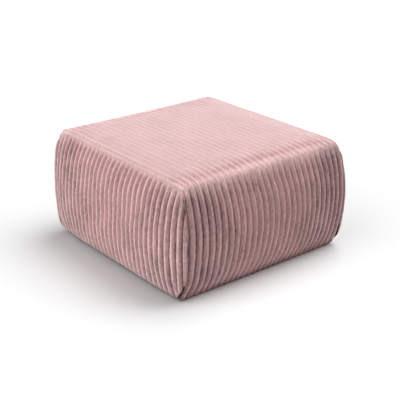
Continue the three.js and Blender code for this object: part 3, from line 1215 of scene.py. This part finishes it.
@dataclass
class Filling:
    """The stuffing: a short cloth simulation tells how far it pushes each part of the covers."""

    form: PaddedForm
    casing_rows: int = 150
    casing_columns: int = 90
    voxel: float = 0.016
    quality: int = 5
    mass: float = 0.3
    stretch_stiffness: float = 20.0
    shear_stiffness: float = 8.0
    bending_stiffness: float = 0.8
    pressure: float = 4.0
    frames: int = 20
    seam_samples: int = 300
    seam_pin: float = 0.035
    floor_pin: float = 0.03
    most: float = 0.0035
    gain: float = 0.5
    neighbours: int = 6
    still: float = 0.03
    tree: kdtree.KDTree | None = field(init=False, default=None)
    push: Array | None = field(init=False, default=None)

    def simulate(self) -> None:
        """Blows up a coarse casing between its seams and keeps how far each point moved."""
        casing = self._casing()
        start = read_points(casing.data)
        cloth = casing.modifiers.new("cloth", "CLOTH")
        settings = cloth.settings
        settings.quality = self.quality
        settings.mass = self.mass
        settings.tension_stiffness = settings.compression_stiffness = self.stretch_stiffness
        settings.shear_stiffness = self.shear_stiffness
        settings.bending_stiffness = self.bending_stiffness
        settings.use_pressure = True
        settings.uniform_pressure_force = self.pressure
        settings.effector_weights.gravity = 0.0
        settings.vertex_group_mass = self._pins(casing, start)
        cloth.point_cache.frame_start = 1
        cloth.point_cache.frame_end = self.frames
        scene = bpy.context.scene
        for frame in range(1, self.frames + 1):
            scene.frame_set(frame)
        graph = bpy.context.evaluated_depsgraph_get()
        end = read_points(bpy.data.meshes.new_from_object(casing.evaluated_get(graph)))
        scene.frame_set(1)
        normals = np.array([v.normal for v in casing.data.vertices])
        moved = ((end - start) * normals).sum(-1)
        middle = float(np.median(moved))
        LOG.info("filling: moved %.4f to %.4f m, middle %.4f m", moved.min(), moved.max(), middle)
        self.push = np.clip((moved - middle) * self.gain, -self.most, self.most)
        self.tree = search_tree(start)
        bpy.data.objects.remove(casing)

    def lift(self, points: Array, away: Array) -> Array:
        """Tells how far the filling pushes a cover out.

        Args:
            points: Places of the cover.
            away: Their distances from its seams, where the cover stays in place, as it does at the floor.

        Returns:
            The distances outwards.
        """
        if self.tree is None or self.push is None:
            return np.zeros(points.shape[:-1])
        flat = points.reshape(-1, 3)
        out = np.empty(len(flat))
        for i, point in enumerate(flat):
            near = self.tree.find_n(point, self.neighbours)
            weights = [1.0 / (entry[2] ** 2 + self.voxel**2 / 4) for entry in near]
            out[i] = sum(w * self.push[entry[1]] for w, entry in zip(weights, near)) / sum(weights)
        loose = smooth(0.0, self.still, away) * smooth(0.0, self.still, points[..., 2])
        return out.reshape(points.shape[:-1]) * loose

    def _casing(self) -> bpy.types.Object:
        """Makes the closed coarse casing.

        Returns:
            The casing, remeshed evenly.
        """
        form = self.form
        along = np.linspace(0.0, form.spine.length, self.casing_rows)
        across = np.linspace(-form.wrap_half, form.wrap_half, self.casing_columns)
        points, _ = form.wrap(across[None, :], along[:, None])
        numbers = np.arange(points[..., 0].size).reshape(points.shape[:2])
        faces = grid_faces(np.vstack([numbers, numbers[:1]]))
        middles = []
        for side, column in ((-1, numbers[:, 0]), (1, numbers[:, -1])):
            middle = numbers.size + len(middles)
            middles.append((side * (form.waist.half_width + form.end_crown), 0.0, form.top / 2))
            ring = np.append(column, column[0])
            faces += [(middle, int(b), int(a))[::side] for a, b in zip(ring[:-1], ring[1:])]
        casing = new_piece("casing", np.vstack([points.reshape(-1, 3), middles]), faces)
        remesh = casing.modifiers.new("remesh", "REMESH")
        remesh.mode = "VOXEL"
        remesh.voxel_size = self.voxel
        remesh.use_smooth_shade = True
        settle(casing)
        return casing

    def _pins(self, casing: bpy.types.Object, points: Array) -> str:
        """Pins the casing along its seams and at the floor.

        Args:
            casing: The casing.
            points: Its vertices.

        Returns:
            Name of the vertex group of the pins.
        """
        seam = self.form.seam(self.seam_samples)
        away = seam.distance(np.abs(points) * np.array([-1.0, 1.0, 1.0]), 1.0)
        loose = np.minimum(smooth(0.0, self.seam_pin, away), smooth(0.0, self.floor_pin, points[:, 2]))
        group = casing.vertex_groups.new(name="seams")
        for i, weight in enumerate(1.0 - loose):
            group.add([i], float(weight), "REPLACE")
        return group.name


@dataclass
class WrapCover:
    """The padded body in its wrap panel, from the front hem over the top to the back hem."""

    form: PaddedForm
    ribs: CordRibs
    filling: Filling
    tuck: SeamTuck
    pitch: float = 0.02425
    shift: float = 0.0012
    edge_margin: float = 0.0008
    rib_offset: float = 40.0
    rib_end_share: float = 0.5
    row_step: float = 0.0062
    wander: float = 0.0011
    wander_edge: float = 0.03
    ripple: Ripple = Ripple(seed=11, size=0.12)
    hem_relief: float = 0.15
    hem_fade_inside: float = 0.006
    hem_fade_outside: float = 0.004
    top_relief: float = 0.11
    top_fade_inside: float = 0.06
    top_fade_outside: float = 0.045
    core_gap: float = 0.003
    ledge: float = 0.0035
    wall_lean: float = 0.001
    under_shares: tuple = (1.0, 0.6, 0.2, -0.2, -0.6, -1.0)
    cap_shares: tuple = (0.97, 0.93, 0.88, 0.8, 0.7, 0.6, 0.5, 0.4, 0.3, 0.2, 0.1, 0.0)

    def build(self, cloth: bpy.types.Material) -> bpy.types.Object:
        """Makes the cover as a closed body and raises its ribs.

        Args:
            cloth: Material of the cover.

        Returns:
            The finished piece.
        """
        form, shape = self.form, self.ribs.shape
        edge = form.wrap_half
        inner = shape.edges(-edge + self.edge_margin, edge - self.edge_margin, self.pitch, self.shift)
        along = np.linspace(0.0, form.spine.length, int(form.spine.length / self.row_step))
        u, s = np.meshgrid(np.concatenate(([-edge], inner, [edge])), along)
        away = edge - np.abs(u)
        drift = self.wander * self.ripple.at(u, s) * smooth(0.0, self.wander_edge, away)
        crest, normal = form.wrap(u + drift, s)
        depth = self.tuck.depth(away, crest[..., 2], shape.height) * self._level(s)
        points = crest + normal * (self.filling.lift(crest, away) - depth)[..., None]
        points[..., 2] = np.maximum(points[..., 2], form.floor_gap)
        places = ClothPlaces(
            weave=np.stack([u, s, (u - self.shift) / self.pitch + self.rib_offset], -1),
            relief=round_end(away, shape.end_width * self.rib_end_share) * depth / shape.height,
            tone=self.tuck.tone(crest[..., 2]),
        )
        return self._closed(points, normal, places, cloth)

    def _level(self, along: Array) -> Array:
        """Lowers the ribs on the hem and on the top, where the cloth is pressed and stretched.

        Args:
            along: Length from the front hem.

        Returns:
            Share of their height that they keep.
        """
        length, hem = self.form.spine.length, self.form.hem
        from_hem = np.minimum(along, length - along)
        on_hem = 1.0 - smooth(hem - self.hem_fade_inside, hem + self.hem_fade_outside, from_hem)
        reach = self.form.rows[-1].half_depth
        from_middle = np.abs(along - length / 2)
        on_top = 1.0 - smooth(reach - self.top_fade_inside, reach + self.top_fade_outside, from_middle)
        return (1.0 - on_hem * (1.0 - self.hem_relief)) * (1.0 - on_top * (1.0 - self.top_relief))

    def _closed(
        self, points: Array, normal: Array, places: ClothPlaces, cloth: bpy.types.Material
    ) -> bpy.types.Object:
        """Closes the cover under the base cloth and behind the end covers.

        Args:
            points: Grid of the cover's points, from hem to hem.
            normal: Outward directions there.
            places: What the ribs need there.
            cloth: Material of the cover.

        Returns:
            The piece with its ribs raised.
        """
        under = np.repeat(points[:1], len(self.under_shares), axis=0)
        under[:, :, 1] = -points[0, :, 1] * np.array(self.under_shares)[:, None]
        under[:, :, 2] = self.form.floor_gap + self.core_gap
        grid = np.concatenate([points, under])
        mirror = np.array([-1.0, 1.0, 1.0])
        left = self._cap(grid[:, 0], normal[:, 0])
        right = self._cap(grid[:, -1] * mirror, normal[:, -1] * mirror) * mirror
        whole = np.concatenate([left[:, ::-1], grid, right], axis=1)
        numbers = np.arange(whole.shape[0] * whole.shape[1]).reshape(whole.shape[:2])
        faces = grid_faces(np.vstack([numbers, numbers[:1]]))
        piece = new_piece("wrap_cover", whole.reshape(-1, 3), faces)
        pad = ((0, len(under)), (left.shape[1], right.shape[1]))
        everywhere = ClothPlaces(
            weave=np.pad(places.weave, (*pad, (0, 0)), mode="edge"),
            relief=np.pad(places.relief, pad),
            tone=np.pad(places.tone, pad, mode="edge"),
        )
        return self.ribs.dress(piece, everywhere, cloth, self.form.floor_gap)

    def _cap(self, edge: Array, normal: Array) -> Array:
        """Closes the left side of the body, just under the end cover.

        Args:
            edge: Points of the cover's left edge, all the way round.
            normal: Outward directions at those of them that lie on the cover.

        Returns:
            Rings of points, from the edge to the middle.
        """
        form = self.form
        ledge = edge.copy()
        ledge[: len(normal)] -= normal * self.ledge
        ledge[:, 0] += self.wall_lean
        across, height = form.on_end(edge)
        middle = form.top / 2
        depth = self.tuck.deepest(self.ribs.shape.height) + self.ledge
        rings = [ledge]
        for share in self.cap_shares:
            u, z = across * share, middle + (height - middle) * share
            rings.append(form.end(u, z) - form.end_normal(u, z) * depth)
        return np.stack(rings, 1)


@dataclass
class EndCover:
    """A barrel-shaped end cover, sewn to the wrap along its top and both upright edges."""

    form: PaddedForm
    ribs: CordRibs
    filling: Filling
    tuck: SeamTuck
    side: Side
    pitch: float = 0.0251
    shift: float = -0.0158
    rib_offset: float = 40.5
    rows: int = 64
    even_rows: float = 0.6
    wander: float = 0.0009
    ripple: Ripple = Ripple(seed=23, size=0.12)
    seam_reach: float = 0.05
    pull_power: int = 3
    turn_power: int = 6
    cloth_thickness: float = 0.002
    nearest_to_apex: float = 0.0012
    seam_gap: float = 0.0003
    foot_lift: float = 0.0006

    def build(self, cloth: bpy.types.Material) -> bpy.types.Object:
        """Makes the cover as a closed sheet and raises its ribs.

        Args:
            cloth: Material of the cover.

        Returns:
            The finished piece.
        """
        form, shape = self.form, self.ribs.shape
        seam = form.seam()
        reach = seam.spread - self.nearest_to_apex
        across = shape.edges(-reach, reach, self.pitch, self.shift + self.pitch / 2)
        lines = [self._line(seam, float(place)) for place in across]
        lines = [self._apex(seam, -1), *lines, self._apex(seam, 1)]
        crest, normal = (np.stack(grid, 1) for grid in zip(*lines))
        u = np.broadcast_to(np.concatenate(([-seam.spread], across, [seam.spread])), crest.shape[:2])
        away = seam.distance(crest, self.seam_reach)
        depth = self.tuck.depth(away, crest[..., 2], shape.height)
        points = crest + normal * (self.filling.lift(crest, away) - depth)[..., None]
        points[..., 2] = np.maximum(points[..., 2], form.floor_gap)
        behind = points - normal * self.cloth_thickness
        behind[..., 2] = np.maximum(behind[..., 2], form.floor_gap)
        standing = crest[0, :, 2] < form.foot_round
        points[0, standing, 2] = behind[0, standing, 2] = form.floor_gap + self.foot_lift
        places = ClothPlaces(
            weave=np.stack([u, crest[..., 2], (u - self.shift) / self.pitch + self.rib_offset], -1),
            relief=round_end(away, shape.end_width) * depth / shape.height,
            tone=self.tuck.tone(crest[..., 2]),
        )
        return self._closed(points, behind, places, cloth)

    def _heights(self, low: float, high: float) -> Array:
        """Spaces the rows of one upright line, closer together at its ends.

        Args:
            low: Height of its lower end.
            high: Height of its upper end.

        Returns:
            Heights of the rows.
        """
        share = np.linspace(0.0, 1.0, self.rows)
        eased = 0.5 - 0.5 * np.cos(math.pi * share)
        return low + (high - low) * (self.even_rows * share + (1.0 - self.even_rows) * eased)

    def _line(self, seam: SeamLine, place: float) -> tuple[Array, Array]:
        """Follows one upright line from the floor, or from the seam, to the seam above.

        Args:
            seam: Line where the cover is sewn on.
            place: Place of the line across the cloth.

        Returns:
            Its points and outward directions, from below.
        """
        found = seam.crossings(place)
        from_floor = len(found) < 2
        high, top_point, top_normal = found[-1]
        low = 0.0 if from_floor else found[0][0]
        heights = self._heights(low, high)
        across = np.full(self.rows, place)
        up = ((heights - low) / (high - low))[:, None]
        points = self.form.end(across, heights)
        normals = self.form.end_normal(across, heights)
        points = points + (top_point - points[-1]) * up**self.pull_power
        normals = normals + (top_normal - normals[-1]) * up**self.turn_power
        if not from_floor:
            points = points + (found[0][1] - points[0]) * (1.0 - up) ** self.pull_power
            normals = normals + (found[0][2] - normals[0]) * (1.0 - up) ** self.turn_power
        points[:, 1] += self.wander * self.ripple.at(across, heights) * bell(up[:, 0], 1.0)
        return points, normals / np.linalg.norm(normals, axis=-1, keepdims=True)

    def _apex(self, seam: SeamLine, direction: int) -> tuple[Array, Array]:
        """Returns the furthest point of the cover to one side, once for every row."""
        at = int(np.argmax(seam.across * direction))
        return np.tile(seam.points[at], (self.rows, 1)), np.tile(seam.normals[at], (self.rows, 1))

    def _closed(
        self, points: Array, behind: Array, places: ClothPlaces, cloth: bpy.types.Material
    ) -> bpy.types.Object:
        """Joins the face and the back of the cover into one closed sheet.

        Args:
            points: Grid of the face's points.
            behind: Grid of the back's points.
            places: What the ribs need on the face.
            cloth: Material of the cover.

        Returns:
            The piece with its ribs raised.
        """
        rows, columns = points.shape[:2]
        front = np.arange(rows * columns).reshape(rows, columns)
        back = front + front.size
        faces = grid_faces(front, flip=True) + grid_faces(back)
        faces += grid_faces(np.vstack([front[0], back[0]]))
        faces += grid_faces(np.vstack([front[-1], back[-1]]), flip=True)
        everything = np.concatenate([points.reshape(-1, 3), behind.reshape(-1, 3)])
        everything[:, 0] -= self.seam_gap
        if self.side is Side.RIGHT:
            everything = everything * np.array([-1.0, -1.0, 1.0])
        piece = new_piece(f"end_cover_{self.side.name.lower()}", everything, faces)
        everywhere = ClothPlaces(
            weave=np.tile(places.weave.reshape(-1, 3), (2, 1)),
            relief=np.concatenate([places.relief.ravel(), np.zeros(front.size)]),
            tone=np.tile(places.tone.ravel(), 2),
        )
        return self.ribs.dress(piece, everywhere, cloth, self.form.floor_gap)


@dataclass
class BasePanel:
    """The plain cloth under the pouf, inside the hem."""

    node: str = "base_panel"
    thickness: float = 0.0012
    clearance: float = 0.0002
    cell: float = 0.02
    corner: float = 0.03
    corner_power: int = 8
    slack: float = 0.0006
    ripple: Ripple = Ripple(seed=5, size=0.2)

    def build(self, cloth: bpy.types.Material) -> bpy.types.Object:
        """Makes the base cloth over its solid's outline.

        Args:
            cloth: Material of the base cloth.

        Returns:
            The finished piece.
        """
        low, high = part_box(self.node)
        columns = int((high.x - low.x) / self.cell)
        rows = int((high.y - low.y) / self.cell)
        across, along = np.meshgrid(np.linspace(-1, 1, columns + 1), np.linspace(-1, 1, rows + 1))
        x, y = self._rounded(across, along, high.x, high.y)
        hang = 0.5 + 0.5 * self.ripple.at(x, y)
        wave = self.slack * hang * (1 - across**2) * (1 - along**2)
        bottom = np.stack([x, y, low.z + self.clearance + wave], -1)
        faces = grid_faces(np.arange(across.size).reshape(across.shape), flip=True)
        piece = new_piece("base_cloth", bottom.reshape(-1, 3), faces)
        solid = piece.modifiers.new("thickness", "SOLIDIFY")
        solid.thickness = self.thickness
        solid.offset = -1.0
        settle(piece)
        piece.data.materials.clear()
        piece.data.materials.append(cloth)
        return piece

    def _rounded(self, across: Array, along: Array, half_x: float, half_y: float) -> tuple[Array, Array]:
        """Rounds the corners of a square grid.

        Args:
            across: Shares of the half width, from -1 to 1.
            along: Shares of the half depth, from -1 to 1.
            half_x: Half width of the cloth.
            half_y: Half depth of the cloth.

        Returns:
            Places across and along.
        """
        pull = self.corner * (1.0 - math.sqrt(0.5)) * (across * along) ** self.corner_power
        return across * half_x - np.sign(across) * pull, along * half_y - np.sign(along) * pull


@dataclass
class HemStitches:
    """Geometry Nodes stitches that hold the base cloth to the hem."""

    node: str = "base_panel"
    pitch: float = 0.009
    length: float = 0.006
    thickness: float = 0.0007
    thread_sides: int = 6
    inset: float = 0.008
    depth: float = 0.0006
    corner: float = 0.022
    corner_steps: int = 6

    def build(self, thread: bpy.types.Material) -> bpy.types.Object:
        """Lays stitches round the base cloth.

        Args:
            thread: Material of the thread.

        Returns:
            The finished piece.
        """
        line = self._outline()
        edges = [(i, (i + 1) % len(line)) for i in range(len(line))]
        piece = new_piece("hem_stitches", line, [], edges)
        self._tree().run_on(piece, {
            "Pitch": self.pitch, "Length": self.length, "Thickness": self.thickness, "Thread": thread})
        return piece

    def _outline(self) -> Array:
        """Draws the line that the stitches follow, with rounded corners.

        Returns:
            Its points, all the way round.
        """
        low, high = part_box(self.node)
        x, y = high.x - self.inset - self.corner, high.y - self.inset - self.corner
        line = []
        for quarter, (side, end) in enumerate(((1, 1), (-1, 1), (-1, -1), (1, -1))):
            for step in range(self.corner_steps + 1):
                angle = math.pi / 2 * (quarter + step / self.corner_steps)
                turn_x, turn_y = self.corner * math.cos(angle), self.corner * math.sin(angle)
                line.append((side * x + turn_x, end * y + turn_y, low.z + self.depth))
        return np.array(line)

    def _tree(self) -> ShapeTree:
        """Builds the tree that sets a stitch at every step of a line.

        Returns:
            The tree.
        """
        tree = ShapeTree("stitch_row", {
            "Pitch": "Float", "Length": "Float", "Thickness": "Float", "Thread": "Material"})
        graph, given = tree.graph, tree.given
        line = graph.add("GeometryNodeMeshToCurve", inputs={"Mesh": tree.geometry})
        spots = graph.node("GeometryNodeCurveToPoints", {"mode": "LENGTH"}, {
            "Curve": line, "Length": given["Pitch"]})
        stitch = graph.add("GeometryNodeMeshCylinder", inputs={
            "Vertices": self.thread_sides, "Radius": given["Thickness"] / 2.0, "Depth": given["Length"]})
        tangent = Wire(graph, spots.outputs["Tangent"])
        placed = graph.add("GeometryNodeInstanceOnPoints", inputs={
            "Points": Wire(graph, spots.outputs["Points"]), "Instance": stitch,
            "Rotation": graph.add("FunctionNodeAlignRotationToVector", {"axis": "Z"}, {"Vector": tangent})})
        tree.end_in(placed, given["Thread"])
        return tree


class Falls(Enum):
    """What a light falls on, by the rule that its group has for the floor."""

    ON_POUF = "EXCLUDE"
    ON_FLOOR = "INCLUDE"


@dataclass(frozen=True)
class Sun:
    """Soft parallel light from a direction, with its width in degrees and the share of red in its colour."""

    name: str
    toward: tuple[float, float, float]
    spread: float
    power: float
    red: float = 1.0

    def shine_on(self, lit: bpy.types.Collection) -> None:
        """Adds the light to the scene.

        Args:
            lit: Group that tells what it falls on.
        """
        data = bpy.data.lights.new(self.name, "SUN")
        data.energy = self.power
        data.color = (self.red, 1.0, 1.0)
        data.angle = math.radians(self.spread)
        light = bpy.data.objects.new(self.name, data)
        light.rotation_mode = "QUATERNION"
        light.rotation_quaternion = (-Vector(self.toward)).to_track_quat("-Z", "Y")
        light.light_linking.receiver_collection = lit
        bpy.context.scene.collection.objects.link(light)


SUNS = {
    Falls.ON_POUF: (
        Sun("left", (-1.0, 0.10, 1.0), 50.0, 3.52, 0.94),
        Sun("front", (-0.40, -1.0, 0.50), 50.0, 0.50),
        Sun("back_right", (0.80, 0.50, 0.70), 30.0, 2.43),
        Sun("back", (0.20, 0.50, 1.0), 40.0, 1.01),
        Sun("overhead", (0.0, 0.0, 1.0), 60.0, 0.37),
    ),
    Falls.ON_FLOOR: (
        Sun("floor_overhead", (0.0, 0.0, 1.0), 60.0, 0.44),
        Sun("floor_right", (0.50, 0.10, 1.0), 40.0, 1.41),
        Sun("floor_front", (0.40, -0.30, 1.0), 30.0, 0.47),
        Sun("floor_low_front", (0.80, -0.60, 0.80), 40.0, 0.80),
        Sun("floor_left", (-1.0, 0.10, 1.0), 50.0, 1.11),
    ),
}


@dataclass
class Studio:
    """A pale floor under a white dome, suns for the pouf and others for the floor, and the camera."""

    focus: tuple[float, float, float] = (-0.0688, -0.1036, 0.2)
    azimuth: float = -38.88
    elevation: float = 22.83
    distance: float = 3.1255
    lens: float = 81.51
    sensor: float = 36.0
    far: float = 100.0
    floor_size: float = 60.0
    floor_colour: Colour = (0.91, 0.925, 0.925, 1.0)
    floor_roughness: float = 0.9
    floor_specular: float = 0.1
    dome_radius: float = 29.0
    dome_parts: int = 48
    room_light: float = 0.04

    def build(self) -> None:
        """Makes the floor, the dome, the camera and the lights."""
        floor = self._floor()
        self._dome()
        self._camera()
        self._room()
        for falls, suns in SUNS.items():
            lit = bpy.data.collections.new(falls.name.lower())
            lit.objects.link(floor)
            lit.collection_objects[0].light_linking.link_state = falls.value
            for sun in suns:
                sun.shine_on(lit)

    def _floor(self) -> bpy.types.Object:
        """Lays the floor.

        Returns:
            The floor.
        """
        half = self.floor_size / 2
        corners = np.array([(-half, -half, 0), (half, -half, 0), (half, half, 0), (-half, half, 0)], float)
        floor = new_piece("studio_floor", corners, [(0, 1, 2, 3)])
        material, graph = new_material("studio_floor")
        graph.end_in(graph.add("ShaderNodeBsdfPrincipled", inputs={
            "Base Color": self.floor_colour, "Roughness": self.floor_roughness,
            "Specular IOR Level": self.floor_specular}))
        floor.data.materials.append(material)
        return floor

    def _dome(self) -> None:
        """Puts up a white dome far behind everything, which gives no light and takes none away."""
        turns = np.linspace(0.0, 2.0 * math.pi, self.dome_parts + 1)
        rises = np.linspace(0.0, math.pi / 2, self.dome_parts // 4)
        turn, rise = np.meshgrid(turns, rises)
        points = np.stack([np.cos(turn) * np.cos(rise), np.sin(turn) * np.cos(rise), np.sin(rise)], -1)
        faces = grid_faces(np.arange(turn.size).reshape(turn.shape))
        dome = new_piece("studio_dome", points.reshape(-1, 3) * self.dome_radius, faces)
        material, graph = new_material("studio_dome")
        graph.end_in(graph.add("ShaderNodeEmission", inputs={"Color": WHITE, "Strength": 1.0}))
        material.cycles.emission_sampling = "NONE"
        dome.data.materials.append(material)
        dome.visible_diffuse = dome.visible_glossy = dome.visible_shadow = False

    def _camera(self) -> None:
        """Sets up the camera at the photograph's view."""
        a, e = math.radians(self.azimuth), math.radians(self.elevation)
        back = Vector((math.sin(a) * math.cos(e), -math.cos(a) * math.cos(e), math.sin(e)))
        data = bpy.data.cameras.new("camera")
        data.sensor_width = self.sensor
        data.lens = self.lens
        data.clip_end = self.far
        camera = bpy.data.objects.new("camera", data)
        camera.rotation_mode = "QUATERNION"
        camera.rotation_quaternion = (-back).to_track_quat("-Z", "Y")
        camera.location = Vector(self.focus) + back * self.distance
        bpy.context.scene.collection.objects.link(camera)
        bpy.context.scene.camera = camera

    def _room(self) -> None:
        """Fills the room with a little white light from all sides."""
        world = bpy.data.worlds.new("studio")
        world.use_nodes = True
        background = world.node_tree.nodes["Background"]
        background.inputs["Color"].default_value = WHITE
        background.inputs["Strength"].default_value = self.room_light
        bpy.context.scene.world = world
        bpy.context.scene.view_settings.view_transform = "Standard"


def report(piece: bpy.types.Object) -> None:
    """Logs a finished piece."""
    LOG.info("%s: %d faces", piece.name, len(piece.data.polygons))


def main() -> None:
    """Builds the pouf's pieces in order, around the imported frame."""
    logging.basicConfig(level=logging.INFO, format="%(name)s %(message)s")
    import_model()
    Studio().build()

    form = PaddedForm()
    filling = Filling(form)
    filling.simulate()
    ribs = CordRibs(RibShape())
    tuck = SeamTuck()
    cord = CordCloth().material()

    wrap = WrapCover(form, ribs, filling, tuck).build(cord)
    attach(wrap, "root")
    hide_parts("body_wrap")
    report(wrap)

    for side in Side:
        cover = EndCover(form, ribs, filling, tuck, side).build(cord)
        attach(cover, "root")
        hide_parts(f"end_panel_{side.name.lower()}")
        report(cover)

    base = BasePanel().build(BaseCloth().material())
    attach(base, "root")
    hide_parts("base_panel")
    report(base)

    stitches = HemStitches().build(Thread().material())
    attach(stitches, "root")
    report(stitches)


if __name__ == "__main__":
    main()
